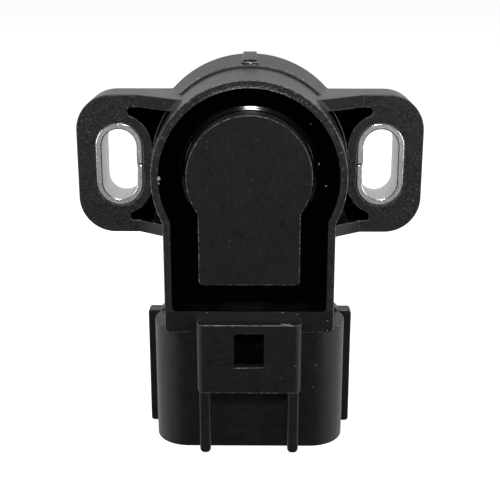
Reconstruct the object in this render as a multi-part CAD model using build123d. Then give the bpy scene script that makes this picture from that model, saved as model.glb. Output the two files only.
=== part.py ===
from build123d import *
import os
from math import asin, atan2, cos, degrees, hypot, radians, sin, sqrt, tan

# Throttle position sensor. X is to the right, Y runs from the front face back towards the
# throttle body, Z is up. The origin is on the rotor axis, in the plane of the mounting face.

# Mounting ears, with a slot and a metal sleeve in each
ear_reach = 6.45
ear_height = 21.4
ear_corner = 5.5
ear_depth = 7.5
ear_edge = 0.2
slot_pitch = 40.0
slot_width = 5.3
slot_length = 10.9
sleeve_wall = 0.95
sleeve_seam = 0.08

# Pockets and gussets between the ears and the tub
boss_wall = 1.45
pocket_floor = 2.5
pocket_inset = 1.5
pocket_corner = 0.5
gusset_rib = 1.9
gusset_inset = 2.8
gusset_slope = 36.6

# Round ring behind the tub, with a stepped key nub on top
ring_front_radius = 15.1
ring_rear_radius = 16.2
ring_edge = 0.6
ring_fillet = 1.0
nub_width = 2.1
nub_front_height = 0.65
nub_rear_height = 0.3
nub_length = 5.6
nub_foot_width = 2.65
nub_foot_height = 0.25
nub_foot_length = 6.1

# Keyhole tub that stands in front of the ears
tub_radius = 14.2
tub_width = 25.2
tub_foot = 23.45
tub_height = 10.5
tub_depth = 9.0
tub_wall = 1.1
tub_bar = 3.35
tub_draft = 3.0
tub_corner = 0.6
tub_edge = 0.15
neck_corner = 0.8

# Keyhole cover in the tub, and the resin that seals it
cover_moat = 3.9
cover_sink = 0.6
cover_face = 1.4
cover_wall = 1.3
cover_draft = 3.0
cover_corner = 0.7
cover_edge = 0.15
board_ledge = 0.8
resin_level = 3.8

# Connector shroud below the tub
shroud_width = 29.3
shroud_depth = 11.0
shroud_corner = 5.3
shroud_height = 19.5
shroud_lap = 0.25
shroud_setback = 0.6
shroud_wall = 1.5
socket_depth = 15.5
mouth_edge = 0.3

# Side ribs along the shroud's rear face
rib_span = 32.2
rib_thickness = 2.4
rib_foot_gap = 0.3
rib_shoulder = 0.9
rib_corner = 0.5

# Latch bridge and its rails in front of the shroud
bridge_width = 15.5
bridge_height = 10.85
bridge_drop = 2.45
bridge_reach = 4.0
bridge_plate = 1.5
bridge_roof = 1.4
bridge_corner = 1.1
bridge_foot_corner = 0.55
window_width = 4.4
window_height = 5.3
rail_outer = 14.9
rail_inner = 11.6
rail_setback = 0.3
rail_foot_gap = 0.8
rail_round = 0.7
rail_edge = 0.35

# Rear wall, spigot and face seal
rear_wall = 3.0
spigot_radius = 8.0
spigot_length = 3.5
spigot_edge = 0.4
seal_inner = 9.6
seal_width = 2.4
seal_depth = 1.6

# Terminals and the resistor board
blade_width = 2.3
blade_thickness = 0.64
blade_pitch = 4.4
blade_length = 11.0
blade_point = 0.6
blade_reach = 4.6
board_thickness = 0.8
track_thickness = 0.1
track_width = 1.4
resistor_radius = 5.7
collector_radius = 3.4
track_sweep = 260.0
solder_radius = 1.4
solder_height = 1.1
solder_clear = 0.4

# Rotor, wiper and spring
rotor_travel = 105.0
wiper_stand = 1.82
wiper_gap = 0.12
wiper_sheet = 0.25
wiper_finger = 0.9
wiper_length = 3.6
wiper_base = 1.2
disc_clear = 0.5
disc_thickness = 1.5
chamber_clear = 1.2
hub_radius = 4.9
journal_radius = 4.2
lug_thickness = 1.5
lug_clear = 0.4
lug_width = 2.2
stop_gap = 0.3
stop_lift = 0.2
stop_depth = 1.6
stop_width = 1.6
drive_slot_length = 5.6
drive_slot_width = 2.4
drive_slot_depth = 6.0
spring_wire = 0.8
spring_clear = 0.7
spring_bend = 0.8
spring_turns = 2
spring_leg = 7.6
spring_gap = 0.15
spring_lift = 0.1
spring_rear_gap = 0.2
spring_arc = 30.0
spring_arc_fill = 0.97
peg_width = 1.0
peg_height = 1.0
peg_clear = 0.3
anchor_angle = 270.0
anchor_depth = 0.9
anchor_clear = 0.3

# Bush, washer, retaining ring and shaft seal
bush_wall = 1.15
bush_flange = 0.8
bush_flange_thickness = 0.6
bush_reach = 0.8
washer_thickness = 0.3
washer_width = 1.4
ring_groove = 0.5
ring_thickness = 0.5
ring_width = 1.4
ring_mouth = 80.0
ring_gap = 0.2
seal_lip_gap = 0.4
seal_lip_length = 1.2
seal_wall = 1.75

# Angles of a round
full_turn = 360.0
quarter_turn = 90.0

# Fits
running_fit = 0.05
insert_fit = 0.02
end_play = 0.05

# Depths along the rotor axis, from the front to the back
ear_front = -ear_depth
rim = ear_front - tub_height
tub_floor = rim + tub_depth
cover_front = rim + cover_sink
resin_top = rim + resin_level
shroud_front = rim + shroud_setback
shroud_rear = shroud_front + shroud_depth
shroud_middle = shroud_front + shroud_depth / 2
bridge_front = shroud_front - bridge_reach
rail_front = bridge_front + rail_setback
blade_front = shroud_middle - blade_thickness / 2
blade_rear = shroud_middle + blade_thickness / 2
board_rear = blade_front
board_front = board_rear - board_thickness
disc_front = board_rear + wiper_stand
disc_rear = disc_front + disc_thickness
lug_rear = disc_rear + lug_thickness
chamber_floor = -rear_wall
flange_front = chamber_floor - bush_flange_thickness
washer_front = flange_front - washer_thickness
hub_rear = washer_front - end_play
bush_rear = bush_reach
ring_front_face = bush_rear + ring_gap
ring_rear_face = ring_front_face + ring_thickness
seal_front = ring_rear_face + seal_lip_gap
seal_rear = seal_front + seal_lip_length
rotor_rear = spigot_length - ring_gap

# Heights below the rotor axis
shroud_top = -tub_foot + shroud_lap
mouth = shroud_top - shroud_height
socket_floor = mouth + socket_depth
bridge_top = -tub_foot + bridge_drop
rib_bottom = mouth + rib_foot_gap
rail_bottom = mouth + rail_foot_gap
cover_foot = tub_foot - tub_bar - cover_moat
blade_tip = socket_floor - blade_length
blade_top = -cover_foot + blade_reach

# Radii and widths that follow from the walls and the fits
ear_span = slot_pitch + 2 * ear_reach
pocket_end = slot_pitch / 2 - pocket_inset
gusset_start = slot_pitch / 2 - gusset_inset
tub_rear_half = tub_width / 2 + (shroud_rear - rim) * tan(radians(tub_draft))
cavity_radius = tub_radius - tub_wall
cavity_width = tub_width - 2 * tub_wall
gusset_end = sqrt(cavity_radius**2 - (ear_height / 2) ** 2)
cavity_foot = tub_foot - tub_bar
cover_radius = cavity_radius - cover_moat
cover_width = 2 * (blade_pitch + solder_radius + solder_clear + cover_wall)
cover_bore = cover_radius - cover_wall
disc_radius = cover_bore - disc_clear
chamber_radius = disc_radius + chamber_clear
sleeve_radius = slot_width / 2 + sleeve_wall
sleeve_length = slot_length + 2 * sleeve_wall
boss_radius = sleeve_radius + boss_wall
boss_length = sleeve_length + 2 * boss_wall
bush_bore = journal_radius + running_fit
bush_radius = bush_bore + bush_wall
flange_radius = bush_radius + bush_flange
groove_radius = journal_radius - ring_groove
seal_lip_bore = journal_radius + running_fit
seal_lip_radius = seal_lip_bore + seal_wall
coil_radius = hub_radius + spring_clear + spring_wire / 2
lug_reach = chamber_radius - lug_clear
peg_inner = coil_radius + spring_wire / 2 + peg_clear
peg_outer = lug_reach - peg_clear
rest_angle = quarter_turn + rotor_travel / 2


def at_depth(y):
    return Plane.XZ.offset(-y)


def slab(outline, front, rear, flare=0.0):
    # runs an outline drawn in X and Z from front to rear, widening towards the rear
    return extrude(at_depth(front) * outline, amount=rear - front, dir=(0, 1, 0), taper=-flare)


def round_bar(radius, front, rear):
    return slab(Circle(radius), front, rear)


def tube(outer, inner, front, rear):
    return slab(Circle(outer) - Circle(inner), front, rear)


def cone(front_radius, rear_radius, front, rear):
    shape = Cone(rear_radius, front_radius, rear - front, align=(Align.CENTER, Align.CENTER, Align.MIN))
    return at_depth(rear) * shape


def column(outline, bottom, top):
    # runs an outline drawn in X and Y from bottom to top
    return extrude(Plane.XY.offset(bottom) * outline, amount=top - bottom, dir=(0, 0, 1))


def keyhole(radius, width, foot, corner, neck):
    stem = Pos(0, -foot / 2) * Rectangle(width, foot)
    stem = fillet(stem.vertices().group_by(Axis.Y)[0], corner)
    outline = Circle(radius) + stem
    return fillet(outline.vertices().group_by(Axis.Y)[-1], neck)


def stadium(length, width):
    return Rot(0, 0, quarter_turn) * SlotOverall(length, width)


def ear_outline():
    return RectangleRounded(ear_span, ear_height, ear_corner)


def tub_outline():
    return keyhole(tub_radius, tub_width, tub_foot, tub_corner, neck_corner)


def cavity_outline():
    return keyhole(cavity_radius, cavity_width, cavity_foot, tub_corner, neck_corner)


def cover_outline(inset=0.0):
    # the cover's outline at its face, or the same drawn in all round by inset
    return keyhole(
        cover_radius - inset, cover_width - 2 * inset, cover_foot - inset, cover_corner, neck_corner
    )


def cover_solid():
    return slab(cover_outline(), cover_front, tub_floor, cover_draft)


def tub_cavity():
    return slab(cavity_outline(), rim, tub_floor, -tub_draft)


def shroud_outline(inset=0.0):
    outline = RectangleRounded(shroud_width - 2 * inset, shroud_depth - 2 * inset, shroud_corner - inset)
    return Pos(0, shroud_middle) * outline


def blade(x):
    # one terminal: a straight blade with a tapered tip, from the socket up to the board
    half = blade_width / 2
    outline = Polygon(
        (x - half, blade_top),
        (x - half, blade_tip + blade_point),
        (x - half + blade_point, blade_tip),
        (x + half - blade_point, blade_tip),
        (x + half, blade_tip + blade_point),
        (x + half, blade_top),
        align=None,
    )
    return slab(outline, blade_front, blade_rear)


def blades():
    return [blade(side * blade_pitch) for side in (-1, 0, 1)]


def turned(shape, angle):
    # turns a shape made at the top of the rotor to an angle seen from the front
    return Rot(0, quarter_turn - angle, 0) * shape


def gusset(side, top):
    # sloped rib between the ear's pad and the tub wall, along the ear's upper or lower edge
    rise = (gusset_start - gusset_end) * tan(radians(gusset_slope))
    wedge = Polygon(
        (side * gusset_end, ear_front + ear_edge),
        (side * gusset_start, ear_front + ear_edge),
        (side * gusset_start, ear_front),
        (side * gusset_end, ear_front - rise),
        align=None,
    )
    low = ear_height / 2 - gusset_rib if top else -ear_height / 2
    body = column(wedge, low, low + gusset_rib)
    outer_face = body.faces().sort_by(Axis.Z)[-1 if top else 0]
    slope_edge = outer_face.edges().sort_by(Axis.Y)[0]
    return fillet(slope_edge, ear_edge)


def pocket(side, top):
    # blind pocket between the sleeve's boss, the gusset rib and the tub wall
    half = ear_height / 2 - gusset_rib
    sign = 1 if top else -1
    space = Pos(side * pocket_end / 2, sign * half / 2) * Rectangle(pocket_end, half)
    boss = Pos(side * slot_pitch / 2, 0) * stadium(boss_length, 2 * boss_radius)
    outline = space - boss - Circle(ring_front_radius)
    outline = Sketch() + outline.faces().sort_by(SortBy.AREA)[-1]
    tips = [corner for corner in outline.vertices() if abs(corner.X) > pocket_end - pocket_corner]
    return slab(fillet(tips, pocket_corner), ear_front, -pocket_floor)


def nub_step(width, length, front_height, rear_height):
    # wedge along the top of the ring, from its rear edge forward
    front = -ring_edge - length
    slope = (ring_rear_radius - ring_front_radius) / (ear_depth - ring_edge)
    rear_top = ring_rear_radius + rear_height
    front_top = ring_rear_radius - slope * length + front_height
    side = Plane.YZ * Polygon(
        (front, tub_radius),
        (-ring_edge, tub_radius),
        (-ring_edge, rear_top),
        (front, front_top),
        align=None,
    )
    return extrude(side, amount=width / 2, both=True)


def nub():
    foot = nub_step(nub_foot_width, nub_foot_length, nub_foot_height, 0)
    return foot + nub_step(nub_width, nub_length, nub_front_height, nub_rear_height)


def ring():
    body = cone(ring_front_radius, ring_rear_radius, ear_front, -ring_edge)
    edge = cone(ring_rear_radius, ring_rear_radius - ring_edge, -ring_edge, 0)
    return body + edge


def tub_body():
    body = slab(tub_outline(), rim, shroud_rear, tub_draft)
    return fillet(body.faces().sort_by(Axis.Y)[0].edges(), tub_edge)


def shroud_body():
    body = column(shroud_outline(), mouth, shroud_top)
    return fillet(body.faces().sort_by(Axis.Z)[0].edges(), mouth_edge)


def side_ribs():
    half = rib_span / 2
    neck = tub_rear_half + rib_shoulder
    outline = Polygon(
        (-half, rib_bottom),
        (half, rib_bottom),
        (half, shroud_top),
        (neck, shroud_top),
        (tub_rear_half, shroud_top + rib_shoulder),
        (-tub_rear_half, shroud_top + rib_shoulder),
        (-neck, shroud_top),
        (-half, shroud_top),
        align=None,
    )
    outer = [v for v in outline.vertices() if abs(v.X) > half - rib_corner]
    outline = fillet(outer, rib_corner)
    return slab(outline, shroud_rear - rib_thickness, shroud_rear)


def bridge():
    # a block with its front corners rounded, cut to a front outline with rounded lower corners
    rear = shroud_front + shroud_wall
    outline = Pos(0, bridge_top - bridge_height / 2) * Rectangle(bridge_width, bridge_height)
    block = slab(outline, bridge_front, rear)
    sides = block.faces().sort_by(Axis.Y)[0].edges().filter_by(Axis.Z)
    foot = fillet(outline.vertices().group_by(Axis.Y)[0], bridge_foot_corner)
    return fillet(sides, bridge_corner) & slab(foot, bridge_front, rear)


def rail(side):
    width = (rail_outer - rail_inner) / 2
    middle = side * (rail_outer + rail_inner) / 4
    height = bridge_top - bridge_roof - rail_bottom
    outline = Pos(middle, rail_bottom + height / 2) * Rectangle(width, height)
    outline = fillet(outline.vertices().group_by(Axis.Y)[0], rail_round)
    body = slab(outline, rail_front, shroud_front + shroud_wall)
    return fillet(body.faces().sort_by(Axis.Y)[0].edges(), rail_edge)


def latch_channel():
    height = bridge_top - bridge_roof - mouth
    outline = Pos(0, mouth + height / 2) * Rectangle(rail_inner, height)
    return slab(outline, bridge_front + bridge_plate, shroud_front)


def latch_window():
    middle = bridge_top - bridge_roof - window_height / 2
    outline = Pos(0, middle) * Rectangle(window_width, window_height)
    return slab(outline, bridge_front, shroud_front)


def stop_rib(angle):
    # rib on the chamber wall that the rotor's lug meets
    inner = chamber_radius - stop_depth
    outline = Pos(0, inner + stop_depth) * Rectangle(stop_width, 2 * stop_depth)
    return turned(slab(outline, disc_rear + stop_lift, chamber_floor), angle)


def stop_ribs():
    # one rib at each end of the lug's travel, just clear of it
    inner = chamber_radius - stop_depth
    corner = hypot(inner, stop_width / 2)
    swing = degrees(asin((lug_width / 2 + stop_gap) / corner) + atan2(stop_width / 2, inner))
    return [stop_rib(rest_angle + swing), stop_rib(rest_angle - rotor_travel - swing)]


def sleeve_hole(side):
    outline = Pos(side * slot_pitch / 2, 0) * stadium(
        sleeve_length + 2 * insert_fit, 2 * (sleeve_radius + insert_fit)
    )
    return slab(outline, ear_front, 0)


def spring_anchor_slot():
    # slot in the chamber wall for the spring's fixed leg
    reach = chamber_radius + anchor_depth
    outline = Pos(0, reach / 2) * Rectangle(spring_wire + 2 * anchor_clear, reach)
    return turned(slab(outline, tub_floor, chamber_floor), anchor_angle)


def base_plate():
    # the ears and the ring in one, with their front edge and the corners between them rounded
    body = slab(ear_outline(), ear_front, 0) + ring()
    corners = [
        edge
        for edge in body.edges()
        if abs(edge.center().X) < ring_rear_radius and edge.bounding_box().size.Y > ear_depth / 2
    ]
    body = fillet(corners, ring_fillet)
    front = body.faces().sort_by(Axis.Y)[0]
    return fillet(front.outer_wire().edges(), ear_edge)


def spigot():
    shoulder = spigot_length - spigot_edge
    body = round_bar(spigot_radius, -pocket_floor, shoulder)
    return body + cone(spigot_radius, spigot_radius - spigot_edge, shoulder, spigot_length)


def make_housing():
    body = base_plate() + nub() + tub_body() + shroud_body() + side_ribs() + bridge()
    for side in (-1, 1):
        body += gusset(side, True)
        body += gusset(side, False)
        body += rail(side)
    body += spigot()
    body -= tub_cavity()
    for side in (-1, 1):
        body -= sleeve_hole(side)
        body -= pocket(side, True)
        body -= pocket(side, False)
    chamber = round_bar(chamber_radius, tub_floor, chamber_floor)
    for stop in stop_ribs():
        chamber -= stop
    body -= chamber
    body -= spring_anchor_slot()
    body -= round_bar(bush_radius + insert_fit, chamber_floor, bush_rear)
    body -= round_bar(seal_lip_radius + insert_fit, bush_rear, spigot_length)
    body -= tube(seal_inner + seal_width, seal_inner, -seal_depth, 0)
    body -= column(shroud_outline(shroud_wall), mouth, socket_floor)
    body -= latch_channel()
    body -= latch_window()
    for terminal in blades():
        body -= terminal
    return body


def make_sleeve(side):
    # rolled strip with its butt seam on the side towards the middle
    outline = stadium(sleeve_length, 2 * sleeve_radius) - stadium(slot_length, slot_width)
    seam = Pos(-side * sleeve_radius, 0) * Rectangle(2 * sleeve_wall, sleeve_seam)
    return slab(Pos(side * slot_pitch / 2, 0) * (outline - seam), ear_front, 0)


def make_cover():
    body = cover_solid()
    body = fillet(body.faces().sort_by(Axis.Y)[0].edges(), cover_edge)
    body -= slab(cover_outline(cover_wall), board_front, tub_floor)
    body -= slab(cover_outline(cover_wall + board_ledge), cover_front + cover_face, board_front)
    for terminal in blades():
        body -= terminal
    return body


def make_resin():
    level = round_bar(tub_foot + tub_radius, resin_top, tub_floor)
    body = tub_cavity() & level
    body -= cover_solid()
    for terminal in blades():
        body -= terminal
    return body


def make_board():
    return slab(cover_outline(cover_wall + insert_fit), board_front, board_rear)


def track_arc(radius):
    start = quarter_turn - track_sweep / 2
    middle = CenterArc((0, 0), radius, start, track_sweep)
    return SlotArc(middle, track_width)


def make_resistor_track():
    outline = track_arc(resistor_radius)
    end = radians(quarter_turn - track_sweep / 2)
    x = resistor_radius * cos(end)
    top = resistor_radius * sin(end)
    foot = blade_top + solder_radius / 2
    for side in (-1, 1):
        outline += Pos(side * x, (top + foot) / 2) * Rectangle(track_width, top - foot)
    return slab(outline, board_rear, board_rear + track_thickness)


def make_collector_track():
    outline = Circle(collector_radius + track_width / 2) - Circle(collector_radius - track_width / 2)
    foot = blade_top + solder_radius / 2
    outline += Pos(0, (foot - collector_radius) / 2) * Rectangle(track_width, -foot - collector_radius)
    return slab(outline, board_rear, board_rear + track_thickness)


def make_solder():
    joints = []
    for side, terminal in zip((-1, 0, 1), blades()):
        joint = Pos(side * blade_pitch, blade_top) * Circle(solder_radius)
        joint = slab(joint, board_rear, board_rear + solder_height)
        joint -= terminal
        joint -= make_resistor_track()
        joint -= make_collector_track()
        joints.append(joint)
    return joints


def make_rotor():
    body = round_bar(disc_radius, disc_front, disc_rear)
    body += round_bar(hub_radius, disc_rear, hub_rear)
    body += round_bar(journal_radius, hub_rear, rotor_rear)
    lug = slab(Pos(0, lug_reach / 2) * Rectangle(lug_width, lug_reach), disc_rear, lug_rear)
    peg_outline = Pos(0, (peg_inner + peg_outer) / 2) * Rectangle(peg_width, peg_outer - peg_inner)
    lug += slab(peg_outline, lug_rear, lug_rear + peg_height)
    body += turned(lug, rest_angle)
    body -= tube(hub_radius, groove_radius, ring_front_face - end_play, ring_rear_face + end_play)
    drive = Rectangle(drive_slot_width, drive_slot_length)
    body -= turned(slab(drive, rotor_rear - drive_slot_depth, rotor_rear), rest_angle)
    return body


def make_wiper():
    # sprung strip: a base on the rotor's disc, and two fingers raised to the tracks
    tip = board_rear + track_thickness + wiper_gap
    base = disc_front - wiper_sheet
    bend = wiper_base - wiper_length
    half = wiper_finger / 2
    side = Polygon(
        (-wiper_length, base),
        (bend, base),
        (-half, tip),
        (half, tip),
        (half, tip + wiper_sheet),
        (-half, tip + wiper_sheet),
        (bend, disc_front),
        (-wiper_length, disc_front),
        align=None,
    )
    strap = Polygon(
        (-wiper_length, base),
        (bend, base),
        (bend, disc_front),
        (-wiper_length, disc_front),
        align=None,
    )
    body = column(strap, collector_radius - half, resistor_radius + half)
    for radius in (collector_radius, resistor_radius):
        body += column(side, radius - half, radius + half)
    return turned(body, rest_angle)


def polar(radius, angle, y):
    return (radius * cos(radians(angle)), y, radius * sin(radians(angle)))


def make_spring():
    # torsion spring: a radial leg on the rotor's peg, a coil of short arcs, a leg in the chamber wall
    peg_middle = (peg_inner + peg_outer) / 2
    lag = degrees(asin((peg_width / 2 + spring_wire / 2 + spring_gap) / peg_middle))
    start = rest_angle - lag
    end = anchor_angle + spring_turns * full_turn
    front = lug_rear + spring_lift + spring_wire / 2
    rear = washer_front - spring_rear_gap - spring_wire / 2
    count = round((end - start) / spring_arc)
    turn = (end - start) / count
    pitch = (rear - front) / count
    corner_radius = coil_radius / cos(radians(turn / 2))
    points = [polar(spring_leg, start, front), polar(coil_radius, start, front)]
    for step in range(1, count):
        points.append(polar(corner_radius, start + step * turn, front + step * pitch))
    points.append(polar(coil_radius, end, rear))
    points.append(polar(chamber_radius + anchor_depth - anchor_clear, end, rear))
    bends = [spring_bend] + [coil_radius * spring_arc_fill] * (count - 1) + [spring_bend]
    path = FilletPolyline(*points, radius=bends)
    section = Plane(origin=path @ 0, z_dir=path % 0) * Circle(spring_wire / 2)
    return sweep(section, path=path)


def make_bush():
    body = tube(bush_radius, bush_bore, chamber_floor, bush_rear)
    return body + tube(flange_radius, bush_bore, flange_front, chamber_floor)


def make_washer():
    inner = journal_radius + 2 * running_fit
    return tube(inner + washer_width, inner, washer_front, flange_front)


def make_retaining_ring():
    inner = groove_radius + running_fit
    outline = Circle(inner + ring_width) - Circle(inner)
    reach = 2 * (inner + ring_width)
    half = radians(ring_mouth / 2)
    left = (-reach * sin(half), -reach * cos(half))
    right = (reach * sin(half), -reach * cos(half))
    mouth_cut = Polygon((0, 0), left, right, align=None)
    return slab(outline - mouth_cut, ring_front_face, ring_rear_face)


def make_shaft_seal():
    return tube(seal_lip_radius, seal_lip_bore, seal_front, seal_rear)


def make_seal_ring():
    outer = seal_inner + seal_width - insert_fit
    return tube(outer, seal_inner + insert_fit, -seal_depth, 0)


def save(name, *shapes):
    solids = [solid for shape in shapes for solid in shape.solids()]
    whole = solids[0] if len(solids) == 1 else Compound(solids)
    whole.label = name
    export_step(whole, os.path.join("parts", name + ".step"))


os.makedirs("parts", exist_ok=True)
save("housing", make_housing())
save("mount_sleeve_left", make_sleeve(-1))
save("mount_sleeve_right", make_sleeve(1))
save("cover", make_cover())
save("potting_resin", make_resin())
save("resistor_board", make_board())
save("resistor_track", make_resistor_track())
save("collector_track", make_collector_track())
for terminal_name, terminal_solid in zip(("supply", "signal", "ground"), blades()):
    save("terminal_" + terminal_name, terminal_solid)
save("solder_joints", *make_solder())
save("rotor", make_rotor())
save("wiper", make_wiper())
save("return_spring", make_spring())
save("rotor_bush", make_bush())
save("thrust_washer", make_washer())
save("retaining_ring", make_retaining_ring())
save("shaft_seal", make_shaft_seal())
save("seal_ring", make_seal_ring())
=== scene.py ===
import math
import bpy
import bmesh
from mathutils import Matrix, Vector


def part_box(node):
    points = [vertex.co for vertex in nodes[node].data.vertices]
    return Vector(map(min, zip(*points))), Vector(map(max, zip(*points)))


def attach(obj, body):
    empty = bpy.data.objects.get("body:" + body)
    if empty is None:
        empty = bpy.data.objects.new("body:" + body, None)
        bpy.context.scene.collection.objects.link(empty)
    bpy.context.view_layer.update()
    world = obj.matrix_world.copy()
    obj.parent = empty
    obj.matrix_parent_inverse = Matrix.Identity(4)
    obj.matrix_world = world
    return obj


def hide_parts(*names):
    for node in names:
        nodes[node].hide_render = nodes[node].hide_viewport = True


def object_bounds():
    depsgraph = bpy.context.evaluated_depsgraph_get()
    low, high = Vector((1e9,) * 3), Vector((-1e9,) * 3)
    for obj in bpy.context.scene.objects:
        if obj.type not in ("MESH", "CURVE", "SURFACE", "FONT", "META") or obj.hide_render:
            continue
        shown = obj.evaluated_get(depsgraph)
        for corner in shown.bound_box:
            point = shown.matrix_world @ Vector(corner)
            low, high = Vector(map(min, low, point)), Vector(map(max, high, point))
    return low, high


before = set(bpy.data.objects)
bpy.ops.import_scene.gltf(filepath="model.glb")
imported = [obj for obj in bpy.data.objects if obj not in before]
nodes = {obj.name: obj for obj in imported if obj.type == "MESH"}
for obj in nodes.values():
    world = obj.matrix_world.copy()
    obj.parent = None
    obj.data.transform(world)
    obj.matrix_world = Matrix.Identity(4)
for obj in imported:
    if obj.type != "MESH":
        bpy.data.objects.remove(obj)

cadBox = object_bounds()
mm = 0.001
print("frame loaded with", len(nodes), "solids")


# camera, at the photograph's height and distance
photoView = {
    "place": (1.35, -158.16, 31.55),  # millimetres
    "lookDown": 16.70, "turn": 0.5,  # degrees
    "lens": 72.0, "sensor": 36.0,
    "nearest": 10.0,
}


def placeCamera(view):
    lens = bpy.data.cameras.new("photoCamera")
    lens.lens = view["lens"]
    lens.sensor_width = view["sensor"]
    lens.clip_start = view["nearest"] * mm
    camera = bpy.data.objects.new("photoCamera", lens)
    camera.location = Vector(view["place"]) * mm
    tilt = math.radians(90.0 - view["lookDown"])
    camera.rotation_euler = (tilt, 0.0, math.radians(view["turn"]))
    bpy.context.scene.collection.objects.link(camera)
    bpy.context.scene.camera = camera


placeCamera(photoView)
bpy.context.scene.view_settings.view_transform = "Standard"
print("camera placed")


# node helpers: inputs are sockets or plain values, settings are the node's own attributes
def addNode(tree, kind, inputs=None, **settings):
    made = tree.nodes.new(kind)
    for key, value in settings.items():
        setattr(made, key, value)
    for key, value in (inputs or {}).items():
        if isinstance(value, bpy.types.NodeSocket):
            tree.links.new(value, made.inputs[key])
        else:
            made.inputs[key].default_value = value
    return made


def mathOf(tree, operation, first, second):
    return addNode(tree, "ShaderNodeMath", {0: first, 1: second}, operation=operation).outputs[0]


def times(tree, first, *others):
    for other in others:
        first = mathOf(tree, "MULTIPLY", first, other)
    return first


def blendValue(tree, amount, first, second):
    return addNode(tree, "ShaderNodeMix", {"Factor": amount, "A": first, "B": second}).outputs[0]


def blendColour(tree, amount, first, second):
    # a colour mix takes its colours in sockets 6 and 7, and gives one in output 2
    made = addNode(tree, "ShaderNodeMix", {"Factor": amount, 6: first, 7: second}, data_type="RGBA")
    return made.outputs[2]


def spread(tree, value, source, target=(0.0, 1.0)):
    # stretches one span of values over another, and holds at its ends
    made = addNode(tree, "ShaderNodeMapRange", {
        "Value": value, "From Min": source[0], "From Max": source[1],
        "To Min": target[0], "To Max": target[1],
    })
    return made.outputs[0]


def inMetres(span):
    return tuple(part * mm for part in span)


def within(tree, value, span):
    # one inside a span of millimetres, nought outside it
    low, high = inMetres(span)
    return times(tree, mathOf(tree, "GREATER_THAN", value, low),
                 mathOf(tree, "LESS_THAN", value, high))


def grey(level):
    return (level, level, level, 1.0)


# studio: a white tent for the camera, with its dark open front in the reflections
studio = {
    "ambient": 0.064,  # light that reaches dull surfaces
    "background": 1.0,  # what the camera sees
    "openFront": (0.0, -0.95, -0.31),
    "narrow": (1.7, 1.0, 1.0),  # the open front is taller than it is wide
    # places from the back of the tent to its front, and how bright each is
    "tent": ((0.00, 0.80), (0.50, 0.80), (0.66, 0.36), (0.80, 0.064), (0.92, 0.0064)),
    "lightColour": grey(1.0),
    "floorColour": grey(0.88),
    "floorLift": 0.90,  # evens the floor out to white for the camera
    "floorSize": 4.0,  # metres
}


def paintWorld(look):
    world = bpy.data.worlds.new("studioWorld")
    world.use_nodes = True
    bpy.context.scene.world = world
    tree = world.node_tree
    tree.nodes.clear()
    path = addNode(tree, "ShaderNodeLightPath").outputs
    coord = addNode(tree, "ShaderNodeTexCoord")
    squeezed = addNode(tree, "ShaderNodeVectorMath", {
        0: coord.outputs["Generated"], 1: look["narrow"],
    }, operation="MULTIPLY")
    facing = addNode(tree, "ShaderNodeVectorMath", {0: squeezed.outputs[0]}, operation="NORMALIZE")
    front = addNode(tree, "ShaderNodeVectorMath", {
        0: facing.outputs[0], 1: look["openFront"],
    }, operation="DOT_PRODUCT")
    backToFront = spread(tree, front.outputs["Value"], (-1.0, 1.0))
    tent = addNode(tree, "ShaderNodeValToRGB", {"Fac": backToFront})
    for step, (place, level) in enumerate(look["tent"]):
        stops = tent.color_ramp.elements
        stop = stops[step] if step < len(stops) else stops.new(place)
        stop.position = place
        stop.color = grey(level)
    seen = mathOf(tree, "MAXIMUM", path["Is Camera Ray"], path["Is Transmission Ray"])
    dull = blendValue(tree, seen, look["ambient"], look["background"])
    level = blendValue(tree, path["Is Glossy Ray"], dull, tent.outputs[0])
    light = addNode(tree, "ShaderNodeBackground", {
        "Color": look["lightColour"], "Strength": level,
    })
    addNode(tree, "ShaderNodeOutputWorld", {"Surface": light.outputs[0]})


def layFloor(look):
    bm = bmesh.new()
    bmesh.ops.create_grid(bm, x_segments=1, y_segments=1, size=look["floorSize"] / 2)
    bmesh.ops.translate(bm, verts=bm.verts, vec=(0.0, 0.0, cadBox[0].z))
    mesh = bpy.data.meshes.new("studioFloor")
    bm.to_mesh(mesh)
    bm.free()
    floor = bpy.data.objects.new("studioFloor", mesh)
    bpy.context.scene.collection.objects.link(floor)
    floor.visible_glossy = False
    material = bpy.data.materials.new("paleFloor")
    material.use_nodes = True
    tree = material.node_tree
    tree.nodes.clear()
    path = addNode(tree, "ShaderNodeLightPath").outputs
    matte = addNode(tree, "ShaderNodeBsdfDiffuse", {"Color": look["floorColour"]})
    glow = addNode(tree, "ShaderNodeEmission", {
        "Strength": times(tree, path["Is Camera Ray"], look["floorLift"]),
    })
    both = addNode(tree, "ShaderNodeAddShader", {0: matte.outputs[0], 1: glow.outputs[0]})
    addNode(tree, "ShaderNodeOutputMaterial", {"Surface": both.outputs[0]})
    mesh.materials.append(material)


# softboxes: place, aim and size in millimetres, power in watts
softboxes = {
    "key": {
        "place": (8.0, -390.0, 288.0), "aim": (0.0, -14.0, 0.0),
        "size": (76.0, 76.0), "power": 1.15,
    },
    "overhead": {
        "place": (8.0, -60.0, 520.0), "aim": (0.0, -10.0, 0.0),
        "size": (260.0, 160.0), "power": 0.9,
    },
    "left": {
        "place": (-340.0, -230.0, 40.0), "aim": (0.0, -14.0, -14.0),
        "size": (190.0, 260.0), "power": 0.60,
    },
    "right": {
        "place": (340.0, -230.0, 40.0), "aim": (0.0, -14.0, -14.0),
        "size": (190.0, 260.0), "power": 0.78,
    },
}


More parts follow.
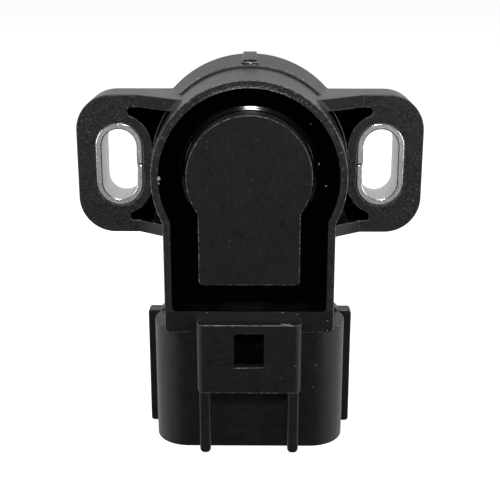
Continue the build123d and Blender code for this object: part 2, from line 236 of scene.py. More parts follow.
def hangSoftbox(name, box):
    lamp = bpy.data.lights.new(name, "AREA")
    lamp.shape = "ELLIPSE"
    lamp.size, lamp.size_y = inMetres(box["size"])
    lamp.energy = box["power"]
    holder = bpy.data.objects.new(name, lamp)
    place = Vector(box["place"]) * mm
    aim = Vector(box["aim"]) * mm
    holder.location = place
    holder.rotation_euler = (aim - place).to_track_quat("-Z", "Y").to_euler()
    bpy.context.scene.collection.objects.link(holder)


paintWorld(studio)
layFloor(studio)
for name, box in softboxes.items():
    hangSoftbox(name, box)
print("studio lit")


# finishes: sizes in millimetres
noiseSpan = (0.3, 0.7)  # where most of a noise's values lie
pairSpan = (0.7, 1.3)  # and those of two noises added
noiseBite = 0.55  # how much a noise's finer layers count
flowAlong = (3.0, 1.0, 1.0)  # a moulding's flow lines run sideways
speckCore = 0.4  # share of a speck that is solid before it fades
edgeFade = 0.2


def newFinish(name):
    material = bpy.data.materials.new(name)
    material.use_nodes = True
    tree = material.node_tree
    shader = tree.nodes["Principled BSDF"]
    coord = addNode(tree, "ShaderNodeTexCoord")
    return material, tree, shader, coord.outputs["Object"]


def wireFinish(tree, shader, look, colour, gloss, height):
    bump = addNode(tree, "ShaderNodeBump", {
        "Height": height, "Strength": look["bump"], "Distance": look["relief"] * mm,
    })
    tree.links.new(colour, shader.inputs["Base Color"])
    tree.links.new(gloss, shader.inputs["Roughness"])
    tree.links.new(bump.outputs[0], shader.inputs["Normal"])


def axesOf(tree, place):
    return addNode(tree, "ShaderNodeSeparateXYZ", {"Vector": place}).outputs


def noiseAt(tree, place, size, detail, stretch=(1.0, 1.0, 1.0)):
    # blotches about size across, longer along a stretched axis
    scale = tuple(1.0 / (size * mm * part) for part in stretch)
    turned = addNode(tree, "ShaderNodeMapping", {"Vector": place, "Scale": scale})
    noise = addNode(tree, "ShaderNodeTexNoise", {
        "Vector": turned.outputs[0], "Scale": 1.0, "Detail": detail, "Roughness": noiseBite,
    })
    return noise.outputs["Fac"]


def dustSpecks(tree, place, spacing, size, share):
    # a few small round specks: one in each cell, kept in a share of the cells
    scale = 1.0 / (spacing * mm)
    cells = addNode(tree, "ShaderNodeTexVoronoi", {"Vector": place, "Scale": scale}, feature="F1")
    reach = (size / spacing * speckCore, size / spacing)
    near = spread(tree, cells.outputs["Distance"], reach, (1.0, 0.0))
    pick = addNode(tree, "ShaderNodeSeparateColor", {"Color": cells.outputs["Color"]})
    return times(tree, near, mathOf(tree, "LESS_THAN", pick.outputs[0], share))


def dusted(tree, place, colour, look):
    specks = dustSpecks(tree, place, look["dustSpacing"], look["dustSize"], look["dustShare"])
    return blendColour(tree, specks, colour, look["dust"])


def edgeStrips(tree):
    # the mesh's own attribute, set on the narrow strips of a piece's edges
    strip = addNode(tree, "ShaderNodeAttribute",
                    attribute_name="edgeBand", attribute_type="GEOMETRY")
    return strip.outputs["Fac"]


def wornEdgesAndHighlight(tree, place, colour, wearAndHighlight):
    # broken pale line along the edges: wear, and a painted highlight
    bare = (wearAndHighlight["bare"], wearAndHighlight["bare"] + edgeFade)
    patchy = noiseAt(tree, place, wearAndHighlight["patch"], detail=3.0)
    patchy = spread(tree, patchy, bare, (0.0, wearAndHighlight["most"]))
    return blendColour(tree, times(tree, edgeStrips(tree), patchy), colour, wearAndHighlight["colour"])


def mouldedSkin(tree, place, look):
    # its colour, flow lines, grain and relief
    blotch = noiseAt(tree, place, look["blotch"], detail=4.0)
    flow = noiseAt(tree, place, look["flow"], detail=3.0, stretch=look.get("along", flowAlong))
    grain = noiseAt(tree, place, look["grain"], detail=2.0)
    tint = spread(tree, mathOf(tree, "ADD", blotch, flow), pairSpan)
    relief = mathOf(tree, "ADD", grain, times(tree, flow, look["flowRelief"]))
    return blendColour(tree, tint, look["dark"], look["pale"]), flow, grain, relief


def mouldedPlastic(name, look):
    material, tree, shader, place = newFinish(name)
    colour, flow, _, relief = mouldedSkin(tree, place, look)
    # a paler side wall: painted light where the tub's rim shades it
    if "wall" in look:
        onLitWall = within(tree, axesOf(tree, place)["Y"], look["wall"]["depth"])
        colour = blendColour(tree, onLitWall, colour, look["wall"]["colour"])
    colour = dusted(tree, place, colour, look)
    if "wearAndHighlight" in look:
        colour = wornEdgesAndHighlight(tree, place, colour, look["wearAndHighlight"])
    gloss = spread(tree, flow, noiseSpan, look["rough"])
    wireFinish(tree, shader, look, colour, gloss, relief)
    return material


def workedMetal(name, look):
    material, tree, shader, place = newFinish(name)
    blotch = noiseAt(tree, place, look["blotch"], detail=4.0)
    drawn = noiseAt(tree, place, look["line"], detail=2.0, stretch=look["along"])
    colour = blendColour(tree, spread(tree, blotch, noiseSpan), look["dark"], look["pale"])
    gloss = spread(tree, mathOf(tree, "ADD", blotch, drawn), pairSpan, look["rough"])
    if "burnish" in look:
        gloss = blendValue(tree, edgeStrips(tree), gloss, look["burnish"])
    shader.inputs["Metallic"].default_value = 1.0
    wireFinish(tree, shader, look, colour, gloss, drawn)
    return material


# trim of an eased copy: lengths in millimetres, angles in degrees
plainTrim = {
    "weld": 0.001,  # joins the solid's loose triangles
    "flat": 0.3,  # faces as level as this become one
    "sharp": 60.0,  # edges that turn more than this are eased
    "segments": 3,
    "crease": 50.0,  # edges that turn more than this stay sharp in the shading
    "narrow": 0.15,  # strips thinner than this take the edges' wear and painted highlight
    "edgeLevel": 1.0,
}


def onCrispEdge(edge, crisp):
    # the tub's inner edge, and the sides of the latch window
    point = sum((v.co for v in edge.verts), Vector()) / len(edge.verts) / mm
    inHead = math.hypot(point.x, point.z) < crisp["round"]
    inStem = abs(point.x) < crisp["half"] and crisp["foot"] < point.z < 0.0
    onRim = abs(point.y - crisp["depth"]) < crisp["near"] and (inHead or inStem)
    inner, outer = crisp["jamb"]
    onFront = abs(point.y - crisp["front"]) < crisp["near"]
    onJamb = onFront and inner < abs(point.x) < outer and point.z > crisp["sill"]
    return onRim or onJamb


def easedCopy(name, node, body, trim):
    # a merged copy of a solid, its flat faces joined and its sharp edges eased
    bm = bmesh.new()
    bm.from_mesh(nodes[node].data)
    bmesh.ops.remove_doubles(bm, verts=bm.verts, dist=trim["weld"] * mm)
    bmesh.ops.dissolve_limit(bm, angle_limit=math.radians(trim["flat"]),
                             verts=bm.verts, edges=bm.edges)
    turn = math.radians(trim["sharp"])
    sharp = [e for e in bm.edges if e.calc_face_angle_signed(0.0) > turn]
    if "crisp" in trim:
        sharp = [e for e in sharp if not onCrispEdge(e, trim["crisp"])]
    # a level on the edge strips, which the finishes read for wear, painted highlight and burnish
    edgeLevel = bm.faces.layers.float.new("edgeBand")
    eased = bmesh.ops.bevel(
        bm, geom=sharp, offset=trim["ease"] * mm, offset_type="OFFSET", affect="EDGES",
        segments=trim["segments"], profile=0.5, material=-1, loop_slide=True,
    )["faces"]
    thin = trim["narrow"] * mm
    strips = [f for f in bm.faces if f.calc_area() < thin * f.calc_perimeter() / 2.0]
    for face in eased + strips:
        face[edgeLevel] = trim["edgeLevel"]
    if "lip" in trim:
        low, high = trim["lip"]["depth"]
        for face in bm.faces:
            if low < face.calc_center_median().y / mm < high:
                face[edgeLevel] = trim["lip"]["edgeLevel"]
    return finishMesh(name, bm, body, trim["crease"], node)


def finishMesh(name, bm, body, crease, node=None):
    for face in bm.faces:
        face.smooth = True
    for edge in bm.edges:
        edge.smooth = edge.calc_face_angle(0.0) < math.radians(crease)
    mesh = bpy.data.meshes.new(name)
    bm.to_mesh(mesh)
    bm.free()
    if "custom_normal" in mesh.attributes:
        mesh.attributes.remove(mesh.attributes["custom_normal"])
    piece = bpy.data.objects.new(name, mesh)
    bpy.context.scene.collection.objects.link(piece)
    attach(piece, body)
    if node:
        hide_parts(node)
    even = piece.modifiers.new("evenShading", "WEIGHTED_NORMAL")
    even.keep_sharp = True
    return piece


def dress(piece, material):
    piece.data.materials.clear()
    piece.data.materials.append(material)


# housing: glass-filled black moulding
def groundMask(tree, axes, ground):
    # the skin of each ground face, above its lowest height
    masks = []
    for depth, lowest in ground["planes"]:
        skin = within(tree, axes["Y"], (depth - ground["skin"], depth + ground["skin"]))
        masks.append(times(tree, skin, mathOf(tree, "GREATER_THAN", axes["Z"], lowest * mm)))
    return mathOf(tree, "MAXIMUM", *masks)


def boxMask(tree, axes, radius, box):
    # a box across the middle, or its ends beyond a radius and within another, faded along an axis
    inside = times(tree, within(tree, axes["X"], (-box["half"], box["half"])),
                   within(tree, axes["Y"], box["depth"]), within(tree, axes["Z"], box["height"]))
    if "beyond" in box:
        inside = times(tree, inside, mathOf(tree, "GREATER_THAN", radius, box["beyond"] * mm))
    if "within" in box:
        inside = times(tree, inside, mathOf(tree, "LESS_THAN", radius, box["within"] * mm))
    for axis, span in box.get("fade", {}).items():
        inside = times(tree, inside, spread(tree, axes[axis], inMetres(span)))
    return inside


def shadedCoresMask(tree, axes, radius, onGround, shadedCores):
    # the round tub, then boxes round the stem, the latch window and the ears' pockets, where shade
    # is painted in
    mask = times(tree, mathOf(tree, "LESS_THAN", radius, shadedCores["round"] * mm),
                 within(tree, axes["Y"], shadedCores["depth"]))
    for box in shadedCores["boxes"]:
        inside = boxMask(tree, axes, radius, box)
        if "beyond" in box and "within" not in box:
            inside = times(tree, inside, mathOf(tree, "SUBTRACT", 1.0, onGround))
        mask = mathOf(tree, "MAXIMUM", mask, inside)
    return mask


def groundColour(tree, place, ground, streak, grain):
    # scrubbed, with pale flecks gathered in patches
    scrub = spread(tree, mathOf(tree, "ADD", streak, grain), ground["scrub"])
    colour = blendColour(tree, scrub, ground["dark"], ground["pale"])
    flecks = dustSpecks(tree, place,
                        ground["fleckSpacing"], ground["fleckSize"], ground["fleckShare"])
    patch = noiseAt(tree, place, ground["patch"], detail=1.0)
    gathered = spread(tree, patch, ground["gather"], ground["gathered"])
    return blendColour(tree, times(tree, flecks, gathered), colour, ground["fleck"])


def rimColour(tree, place, axes, radius, colour, grit, ground):
    # darker and mottled, with grit towards the top and torn pale along its inner edge there
    rim = ground["rim"]
    onRim = within(tree, axes["Y"], rim["depth"])
    colour = blendColour(tree, times(tree, onRim, rim["shade"]), colour, ground["dark"])
    mottle = spread(tree, noiseAt(tree, place, rim["mottle"], detail=2.0), rim["mottled"])
    colour = blendColour(tree, times(tree, onRim, mottle), colour, rim["mottleColour"])
    grit = times(tree, grit, spread(tree, axes["Z"], inMetres(rim["gritRise"]), rim["gritShare"]))
    colour = blendColour(tree, times(tree, onRim, grit), colour, rim["gritColour"])
    inward = spread(tree, radius, inMetres(rim["torn"]), rim["tornInward"])
    upward = spread(tree, axes["Z"], inMetres(rim["crown"]), rim["tornUpward"])
    torn = mathOf(tree, "ADD", inward, upward)
    torn = mathOf(tree, "ADD", torn, noiseAt(tree, place, rim["shred"], detail=3.0))
    torn = times(tree, onRim, spread(tree, torn, rim["tearing"]))
    return blendColour(tree, torn, colour, rim["tornColour"])


def radiusOf(tree, place):
    # distance from the tub's axis
    across = addNode(tree, "ShaderNodeVectorMath", {0: place, 1: (1.0, 0.0, 1.0)},
                     operation="MULTIPLY")
    length = addNode(tree, "ShaderNodeVectorMath", {0: across.outputs[0]}, operation="LENGTH")
    return length.outputs["Value"]


def glassFilled(name, piece):
    look, ground, shadedCores = piece["look"], piece["ground"], piece["shadedCores"]
    frayed = look["frayed"]
    material, tree, shader, place = newFinish(name)
    axes = axesOf(tree, place)
    radius = radiusOf(tree, place)
    streak = noiseAt(tree, place, ground["streak"], detail=4.0, stretch=ground["along"])
    grit = dustSpecks(tree, place, frayed["spacing"], frayed["size"], frayed["share"])
    onGround = groundMask(tree, axes, ground)
    inShadedCores = shadedCoresMask(tree, axes, radius, onGround, shadedCores)

    skin, flow, grain, relief = mouldedSkin(tree, place, look)
    skin = dusted(tree, place, skin, look)
    atRing = times(tree, grit, boxMask(tree, axes, radius, frayed))
    skin = blendColour(tree, atRing, skin, frayed["colour"])
    bare = groundColour(tree, place, ground, streak, grain)
    bare = rimColour(tree, place, axes, radius, bare, grit, ground)
    colour = blendColour(tree, onGround, skin, bare)
    colour = wornEdgesAndHighlight(tree, place, colour, look["wearAndHighlight"])
    # painted shade in the recesses the cores leave
    colour = blendColour(tree, inShadedCores, colour, shadedCores["colour"])

    gloss = spread(tree, flow, noiseSpan, look["rough"])
    gloss = blendValue(tree, onGround, gloss, spread(tree, streak, noiseSpan, ground["rough"]))
    gloss = blendValue(tree, inShadedCores, gloss, shadedCores["rough"])
    for box in look["dull"]:
        gloss = blendValue(tree, boxMask(tree, axes, radius, box), gloss, box["rough"])
    relief = times(tree, relief, mathOf(tree, "SUBTRACT", 1.0, inShadedCores))
    wireFinish(tree, shader, look, colour, gloss, relief)
    return material


housing = {
    "trim": {
        **plainTrim, "ease": 0.14, "crease": 34.0, "narrow": 0.0, "edgeLevel": 0.55,
        # the rim's outer edge takes the wear and painted highlight in full
        "lip": {"depth": (-17.995, -17.86), "edgeLevel": 1.0},  # the rim's rounded outer edge
        "crisp": {
            "near": 0.05,
            "depth": -18.0, "round": 13.4, "half": 11.75, "foot": -20.4,  # tub
            "front": -21.4, "jamb": (1.9, 2.5), "sill": -28.0,  # latch window
        },
    },
    "look": {
        "dark": (0.0058, 0.0059, 0.0061, 1.0),
        "pale": (0.0088, 0.0089, 0.0092, 1.0),
        "dust": (0.30, 0.30, 0.29, 1.0),
        "blotch": 2.6, "flow": 0.55, "grain": 0.16,
        "dustSpacing": 1.6, "dustSize": 0.09, "dustShare": 0.35,
        "rough": (0.34, 0.44),
        "flowRelief": 1.2, "bump": 0.35, "relief": 0.02,
        # pale on the eased edges: wear, and a painted highlight
        "wearAndHighlight": {"colour": grey(0.22), "patch": 0.50, "bare": 0.44, "most": 0.9},
        # grit along the ring's front edge
        "frayed": {
            "half": 14.0, "depth": (-7.45, -6.5), "height": (9.0, 17.0),
            "spacing": 0.55, "size": 0.19, "share": 0.75, "colour": (0.60, 0.60, 0.59, 1.0),
        },
        # duller than the rest
        "dull": (
            {  # upper gussets
                "half": 17.3, "depth": (-13.5, -7.55), "height": (8.7, 10.6),
                "beyond": 14.9, "rough": 0.95,
            },
            {  # lower gussets, towards the ears
                "half": 18.6, "depth": (-13.5, -7.55), "height": (-12.5, -8.9),
                "beyond": 14.9, "fade": {"Y": (-10.5, -7.55)}, "rough": 0.95,
            },
            {  # wall behind the latch window
                "half": 5.9, "depth": (-19.95, -17.0), "height": (-32.0, -22.0), "rough": 0.30,
            },
        ),
    },
    # the ears' front and the tub's rim, ground level and left streaked
    "ground": {
        "planes": ((-7.5, -99.0), (-18.0, -20.2)),  # depth of the face, lowest height on it
        "skin": 0.12,
        "streak": 0.18, "along": (2.2, 1.0, 1.0), "scrub": (0.88, 1.14),
        "dark": (0.0030, 0.0031, 0.0032, 1.0),
        "pale": (0.0240, 0.0242, 0.0246, 1.0),
        "fleck": grey(0.20),
        "fleckSpacing": 0.36, "fleckSize": 0.09, "fleckShare": 0.40,
        "patch": 4.0, "gather": (0.44, 0.62), "gathered": (0.12, 1.0),
        "rim": {
            "depth": (-18.1, -17.9), "shade": 0.80,
            "mottle": 0.26, "mottled": (0.50, 0.64), "mottleColour": (0.025, 0.025, 0.026, 1.0),
            "gritRise": (-8.0, 8.0), "gritShare": (0.1, 1.0),
            "gritColour": (0.075, 0.075, 0.076, 1.0),
            "torn": (13.1, 14.4), "tornInward": (0.5, 0.0),  # from the inner edge outwards
            "crown": (2.0, 13.0), "tornUpward": (-0.6, 0.0),  # towards the top
            "shred": 0.20, "tearing": (0.95, 1.06), "tornColour": grey(0.40),
        },
        "rough": (0.40, 0.52),
    },
    # polished by the mould's cores, and darkened there as painted shade in the tub, the latch
    # window and the ears' pockets
    "shadedCores": {
        "round": 13.3, "depth": (-17.995, -8.9),  # tub
        "boxes": (
            {"half": 11.65, "depth": (-17.995, -8.9), "height": (-20.3, 0.0)},  # stem
            {"half": 5.9, "depth": (-19.95, -17.0), "height": (-32.0, -22.0)},  # behind the window
            {"half": 2.3, "depth": (-21.3, -17.0), "height": (-27.8, -22.3)},  # window
            {  # ears' pockets
                "half": 18.6, "depth": (-11.0, -2.0), "height": (-8.75, 8.87),
                "beyond": 15.2, "fade": {"Y": (-11.0, -8.5)},
            },
            # a painted shadow on the tub's wall, fading out away from the pockets
            {  # the tub's wall beside the upper pockets
                "half": 18.6, "depth": (-14.0, -2.0), "height": (2.2, 8.87),
                "beyond": 14.0, "within": 15.2, "fade": {"Y": (-14.0, -9.0), "Z": (2.2, 5.2)},
            },
            {  # and beside the lower ones
                "half": 18.6, "depth": (-14.0, -2.0), "height": (-8.75, -2.0),
                "beyond": 14.0, "within": 15.2, "fade": {"Y": (-14.0, -9.0), "Z": (-2.0, -5.0)},
            },
            {  # the lower pockets' tips
                "half": 18.6, "depth": (-11.0, -2.0), "height": (-8.87, -8.7), "beyond": 17.6,
            },
        ),
        # painted shade, darker than the plastic's own black
        "colour": grey(0.0008),
        "rough": 0.06,
    },
}
housingShell = easedCopy("housingShell", "housing", "sensor", housing["trim"])
dress(housingShell, glassFilled("glassFilledBlack", housing))
print("housing eased,", len(housingShell.data.polygons), "faces")


# cover: finer black moulding set in the tub
cover = {
    "trim": {**plainTrim, "ease": 0.06, "segments": 2},
    "look": {
        "dark": (0.0070, 0.0072, 0.0075, 1.0),
        "pale": (0.0115, 0.0117, 0.0121, 1.0),
        "dust": grey(0.11),
        "blotch": 3.4, "flow": 0.35, "along": (1.0, 1.0, 2.5), "grain": 0.12,
        "dustSpacing": 0.8, "dustSize": 0.08, "dustShare": 0.50,
        "rough": (0.34, 0.40),
        "flowRelief": 0.5, "bump": 0.25, "relief": 0.015,
        # pale on the eased edges: wear, and a painted highlight
        "wearAndHighlight": {"colour": grey(0.15), "patch": 0.4, "bare": 0.45, "most": 0.85},
        "wall": {"depth": (-17.2, -13.0), "colour": grey(0.034)},  # painted lighter round the sides, where the tub's rim shades them
    },
}
coverShell = easedCopy("coverShell", "cover", "sensor", cover["trim"])
dress(coverShell, mouldedPlastic("fineBlack", cover["look"]))
print("cover eased,", len(coverShell.data.polygons), "faces")


# mounting sleeves: rolled steel strip, dull plated
sleeves = {
    "trim": {**plainTrim, "ease": 0.18},
    "look": {
        "dark": (0.48, 0.48, 0.47, 1.0),
        "pale": (0.84, 0.84, 0.82, 1.0),
        "blotch": 0.26, "line": 0.10, "along": (1.0, 8.0, 1.0),
        "rough": (0.48, 0.64), "burnish": 0.18,
        "bump": 0.5, "relief": 0.015,
    },
}
sleeveFinish = workedMetal("dullPlatedSteel", sleeves["look"])
for side in ("left", "right"):
    sleeve = easedCopy("sleeve" + side.capitalize(), "mount_sleeve_" + side, "sensor",
                       sleeves["trim"])
    dress(sleeve, sleeveFinish)
print("sleeves eased")


# potting resin: poured level round the cover, drawn up a little where it wets the cover
resin = {
    "round": 12.97, "half": 11.36, "foot": 19.95,  # outline at the tub's wall
    "segments": 144, "sidePieces": 12,
    "neckGap": 0.01,  # what lies this far below the head's ends is stem
    "width": 3.72,  # from the tub's wall to just inside the cover
    "coverWall": 3.64,
    "rise": 0.345, "reach": 0.62,  # drawn up the cover's wall
    "stemRise": 0.2,  # share of it along the stem
    "rimSlope": 0.052, "rimReach": 1.9,  # a slight lean up to the tub's wall
    "rows": 40,
    "taper": 0.975,  # at the tub's floor
    "crease": 60.0,
    "look": {
        "dark": (0.0003, 0.0003, 0.0002, 1.0),
        "pale": (0.0008, 0.0008, 0.0005, 1.0),
        "blotch": 5.0, "tint": (0.35, 0.65), "ripple": 3.2,
        "rough": (0.03, 0.09),
        "hazy": (2.0, 9.0), "haze": 0.05,  # rougher towards the top, between these heights
        "bump": 0.15, "relief": 0.03,
    },
}


def resinHeight(look, inward, share):
    toCover = max(look["coverWall"] - inward, 0.0)
    atCover = look["rise"] * share * math.exp(-(toCover / look["reach"]) ** 2)
    return atCover + look["rimSlope"] * max(look["rimReach"] - inward, 0.0)


def nextLoop(bm, edges):
    # one more row of faces along a loop of edges: its far edges and points
    made = bmesh.ops.extrude_edge_only(bm, edges=edges)["geom"]
    points = [part for part in made if isinstance(part, bmesh.types.BMVert)]
    far = set(points)
    lines = [part for part in made if isinstance(part, bmesh.types.BMEdge)]
    return [line for line in lines if far.issuperset(line.verts)], points


def pourResin(look):
    low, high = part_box("potting_resin")
    bm = bmesh.new()
    straight = bm.verts.layers.int.new("straight")  # marks the stem
    bmesh.ops.create_circle(bm, cap_ends=False, radius=look["round"] * mm,
                            segments=look["segments"],
                            matrix=Matrix.Rotation(math.radians(90.0), 4, "X"))
    neck = -math.sqrt(look["round"] ** 2 - look["half"] ** 2) * mm
    bmesh.ops.delete(bm, geom=[v for v in bm.verts if v.co.z < neck], context="VERTS")
    ends = sorted((v for v in bm.verts if len(v.link_edges) == 1), key=lambda v: v.co.x)
    corners = [bm.verts.new((side * look["half"] * mm, 0.0, -look["foot"] * mm))
               for side in (-1, 1)]
    outline = ((ends[0], corners[0]), corners, (corners[1], ends[1]))
    sides = [bm.edges.new(pair) for pair in outline]
    stemTop = ends[0].co.z - look["neckGap"] * mm
    bmesh.ops.subdivide_edges(bm, edges=sides, cuts=look["sidePieces"])
    for v in bm.verts:
        v[straight] = v.co.z < stemTop
    lean = look["rimSlope"] * look["rimReach"] * mm
    bmesh.ops.translate(bm, verts=bm.verts, vec=(0.0, low.y - lean, 0.0))
    outer = list(bm.edges)
    loop = outer
    done = 0.0
    for row in range(1, look["rows"] + 1):
        turn = math.pi * row / look["rows"]
        reach = look["width"] * (1.0 - math.cos(turn)) / 2.0  # closer rows at both walls
        loop, drawn = nextLoop(bm, loop)
        head = [v for v in drawn if not v[straight]]
        stem = [v for v in drawn if v[straight]]
        for points, wide, tall, share in (
            (head, look["round"], look["round"], 1.0),
            (stem, look["half"], look["foot"], look["stemRise"]),
        ):
            drawnIn = ((wide - reach) / (wide - done), 1.0, (tall - reach) / (tall - done))
            bmesh.ops.scale(bm, verts=points, vec=drawnIn)
            rise = resinHeight(look, reach, share) - resinHeight(look, done, share)
            bmesh.ops.translate(bm, verts=points, vec=(0.0, -rise * mm, 0.0))
        done = reach
    backs = []
    for border, shrink in ((outer, look["taper"]), (loop, 1.0)):
        back, rear = nextLoop(bm, border)
        bmesh.ops.scale(bm, verts=rear, vec=(shrink, 0.0, shrink))
        bmesh.ops.translate(bm, verts=rear, vec=(0.0, high.y, 0.0))
        backs += back
    bmesh.ops.bridge_loops(bm, edges=backs)
    bmesh.ops.recalc_face_normals(bm, faces=bm.faces)
    return finishMesh("resinFill", bm, "sensor", look["crease"], "potting_resin")


def curedResin(name, look):
    material, tree, shader, place = newFinish(name)
    blotch = noiseAt(tree, place, look["blotch"], detail=3.0)
    ripple = noiseAt(tree, place, look["ripple"], detail=1.0)
    colour = blendColour(tree, spread(tree, blotch, look["tint"]), look["dark"], look["pale"])
    gloss = spread(tree, blotch, noiseSpan, look["rough"])
    haze = spread(tree, axesOf(tree, place)["Z"], inMetres(look["hazy"]), (0.0, look["haze"]))
    wireFinish(tree, shader, look, colour, mathOf(tree, "ADD", gloss, haze), ripple)
    return material


resinFill = pourResin(resin)
dress(resinFill, curedResin("blackResin", resin["look"]))
print("resin poured,", len(resinFill.data.polygons), "faces")


# beads of resin and burrs of plastic left on the edges: place, then half sizes, in millimetres
crumbs = {
    "resinBeadsWithGlint": {
        "beads": (
            ((-13.02, -17.80, 0.10), (0.29, 0.26, 0.31)),
            ((-13.10, -17.74, -0.62), (0.17, 0.18, 0.20)),
            ((10.19, -14.22, 1.53), (0.10, 0.06, 0.22)),
            ((11.29, -14.22, -1.77), (0.14, 0.06, 0.10)),
            ((8.90, -14.22, 7.40), (0.08, 0.06, 0.16)),
        ),
        "subdivisions": 3, "crease": 60.0,
        "slot": "resin",
        "look": {
            # pale: a painted glint on the black resin beads
            "dark": grey(0.06), "pale": (0.52, 0.52, 0.51, 1.0), "dust": grey(0.50),
            "blotch": 0.3, "flow": 0.2, "grain": 0.05,
            "dustSpacing": 0.3, "dustSize": 0.04, "dustShare": 0.3,
            "rough": (0.14, 0.28), "flowRelief": 0.5, "bump": 0.2, "relief": 0.01,
        },
    },
    "edgeBurrs": {
        "beads": (
            ((-6.29, -17.97, -20.28), (0.10, 0.07, 0.09)),
            ((4.97, -17.97, -20.26), (0.12, 0.08, 0.10)),
            ((7.14, -17.97, -20.50), (0.10, 0.06, 0.08)),
            ((4.85, -20.80, -20.99), (0.22, 0.12, 0.06)),
            ((5.30, -21.12, -20.98), (0.30, 0.10, 0.08)),
            ((5.85, -20.95, -20.99), (0.26, 0.16, 0.06)),
            ((-2.52, -21.30, -23.60), (0.10, 0.06, 0.14)),
            ((-2.58, -21.30, -24.75), (0.12, 0.06, 0.10)),
        ),
        "subdivisions": 3, "crease": 60.0,
        "slot": "housing_plastic",
        "look": {
            "dark": grey(0.06), "pale": (0.40, 0.40, 0.39, 1.0), "dust": grey(0.40),
            "blotch": 0.25, "flow": 0.15, "grain": 0.05,
            "dustSpacing": 0.3, "dustSize": 0.05, "dustShare": 0.4,
            "rough": (0.30, 0.50), "flowRelief": 0.5, "bump": 0.4, "relief": 0.015,
        },
    },
}


def scatter(name, piece):
    bm = bmesh.new()
    for place, half in piece["beads"]:
        size = Matrix.Diagonal([part * mm for part in half] + [1.0])
        bmesh.ops.create_icosphere(bm, subdivisions=piece["subdivisions"], radius=1.0,
                                   matrix=Matrix.Translation(Vector(place) * mm) @ size)
    return finishMesh(name, bm, "sensor", piece["crease"])


for name, piece in crumbs.items():
    dress(scatter(name, piece), mouldedPlastic(name + "Finish", piece["look"]))
print("beads and burrs left")


# rotor and seals, which show at the back
backPieces = {
    "rotorHub": {
        "node": "rotor", "body": "rotor", "slot": "rotor_plastic",
        "trim": {**plainTrim, "ease": 0.15, "segments": 4},
        "look": {
            "dark": (0.020, 0.0185, 0.0165, 1.0), "pale": (0.034, 0.0315, 0.028, 1.0),
            "dust": (0.30, 0.29, 0.27, 1.0),
            "blotch": 1.8, "flow": 0.6, "grain": 0.10,
            "dustSpacing": 1.4, "dustSize": 0.06, "dustShare": 0.25,
            "rough": (0.36, 0.50), "flowRelief": 0.8, "bump": 0.30, "relief": 0.015,
        },
    },
    "shaftSeal": {
        "node": "shaft_seal", "body": "sensor", "slot": "seal_rubber",
        "trim": {**plainTrim, "ease": 0.30, "segments": 4},
        "look": {
            "dark": grey(0.010), "pale": grey(0.017), "dust": (0.24, 0.24, 0.23, 1.0),
            "blotch": 1.2, "flow": 0.5, "grain": 0.14,
            "dustSpacing": 0.8, "dustSize": 0.06, "dustShare": 0.45,
            "rough": (0.52, 0.68), "flowRelief": 0.4, "bump": 0.35, "relief": 0.02,
        },
    },
    "faceSeal": {
        "node": "seal_ring", "body": "sensor", "slot": "seal_rubber",
        "trim": {**plainTrim, "ease": 0.55, "segments": 4},
        "look": {
            "dark": grey(0.012), "pale": grey(0.020), "dust": (0.26, 0.26, 0.25, 1.0),
            "blotch": 1.6, "flow": 0.5, "grain": 0.14,
            "dustSpacing": 1.0, "dustSize": 0.07, "dustShare": 0.40,
            "rough": (0.50, 0.64), "flowRelief": 0.4, "bump": 0.35, "relief": 0.02,
        },
    },
}
for name, piece in backPieces.items():
    made = easedCopy(name, piece["node"], piece["body"], piece["trim"])
    dress(made, mouldedPlastic(name + "Finish", piece["look"]))
print("rotor and seals eased")


# terminals: tinned brass blades with rolled edges
terminals = {
    "trim": {**plainTrim, "sharp": 25.0, "ease": 0.10},
    "look": {
        "dark": (0.60, 0.585, 0.54, 1.0), "pale": (0.80, 0.785, 0.74, 1.0),
        "blotch": 1.1, "line": 0.09, "along": (1.0, 1.0, 22.0),
        "rough": (0.20, 0.34), "bump": 0.20, "relief": 0.006,
    },
}
tinnedBrass = workedMetal("tinnedBrass", terminals["look"])
for use in ("supply", "signal", "ground"):
    made = easedCopy("blade" + use.capitalize(), "terminal_" + use, "sensor", terminals["trim"])
    dress(made, tinnedBrass)
print("terminals eased")


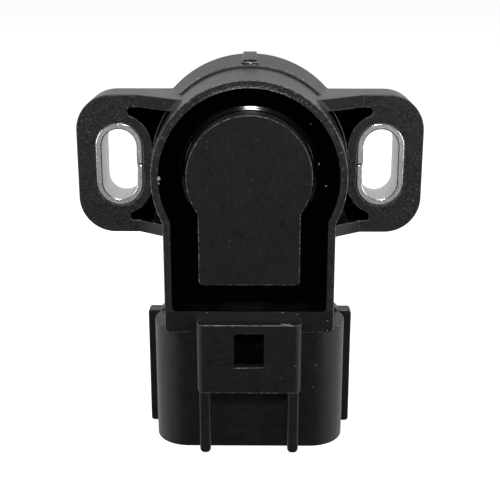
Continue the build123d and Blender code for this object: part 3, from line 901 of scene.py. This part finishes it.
# sealed insides: the solids stay, each with its own finish
insideMetals = {
    "wiper": {
        "dark": (0.55, 0.40, 0.22, 1.0), "pale": (0.74, 0.56, 0.33, 1.0),
        "blotch": 0.8, "line": 0.06, "along": (1.0, 1.0, 12.0),
        "rough": (0.16, 0.30), "bump": 0.15, "relief": 0.005,
    },
    "return_spring": {
        "dark": (0.34, 0.34, 0.35, 1.0), "pale": (0.50, 0.50, 0.51, 1.0),
        "blotch": 0.9, "line": 0.05, "along": (8.0, 1.0, 8.0),
        "rough": (0.22, 0.38), "bump": 0.20, "relief": 0.006,
    },
    "retaining_ring": {
        "dark": (0.30, 0.30, 0.31, 1.0), "pale": (0.46, 0.46, 0.47, 1.0),
        "blotch": 0.8, "line": 0.07, "along": (6.0, 1.0, 1.0),
        "rough": (0.26, 0.42), "bump": 0.25, "relief": 0.008,
    },
    "rotor_bush": {
        "dark": (0.42, 0.27, 0.13, 1.0), "pale": (0.60, 0.42, 0.22, 1.0),
        "blotch": 0.5, "line": 0.10, "along": (1.0, 1.0, 1.0),
        "rough": (0.34, 0.52), "bump": 0.40, "relief": 0.012,
    },
    "solder_joints": {
        "dark": (0.55, 0.55, 0.56, 1.0), "pale": (0.76, 0.76, 0.77, 1.0),
        "blotch": 0.6, "line": 0.20, "along": (1.0, 1.0, 1.0),
        "rough": (0.14, 0.30), "bump": 0.30, "relief": 0.015,
    },
    "collector_track": {
        "dark": (0.58, 0.57, 0.55, 1.0), "pale": (0.74, 0.73, 0.70, 1.0),
        "blotch": 0.5, "line": 0.08, "along": (1.0, 1.0, 1.0),
        "rough": (0.36, 0.54), "bump": 0.25, "relief": 0.006,
    },
}
insidePlastics = {
    "resistor_board": {
        "dark": (0.060, 0.088, 0.040, 1.0), "pale": (0.092, 0.128, 0.060, 1.0),
        "dust": (0.30, 0.32, 0.26, 1.0),
        "blotch": 2.2, "flow": 0.35, "grain": 0.12,
        "dustSpacing": 1.5, "dustSize": 0.06, "dustShare": 0.20,
        "rough": (0.32, 0.46), "flowRelief": 0.8, "bump": 0.25, "relief": 0.012,
    },
    "resistor_track": {
        "dark": (0.008, 0.008, 0.009, 1.0), "pale": (0.020, 0.020, 0.021, 1.0),
        "dust": grey(0.10),
        "blotch": 0.7, "flow": 0.25, "grain": 0.06,
        "dustSpacing": 0.7, "dustSize": 0.04, "dustShare": 0.30,
        "rough": (0.48, 0.66), "flowRelief": 0.6, "bump": 0.35, "relief": 0.006,
    },
    "thrust_washer": {
        "dark": (0.62, 0.59, 0.51, 1.0), "pale": (0.76, 0.73, 0.65, 1.0),
        "dust": (0.36, 0.34, 0.30, 1.0),
        "blotch": 1.0, "flow": 0.4, "grain": 0.09,
        "dustSpacing": 1.0, "dustSize": 0.05, "dustShare": 0.30,
        "rough": (0.40, 0.56), "flowRelief": 0.6, "bump": 0.25, "relief": 0.010,
    },
}
for node, look in insideMetals.items():
    nodes[node].material_slots[0].material = workedMetal(node + "Finish", look)
for node, look in insidePlastics.items():
    nodes[node].material_slots[0].material = mouldedPlastic(node + "Finish", look)
print("insides finished")
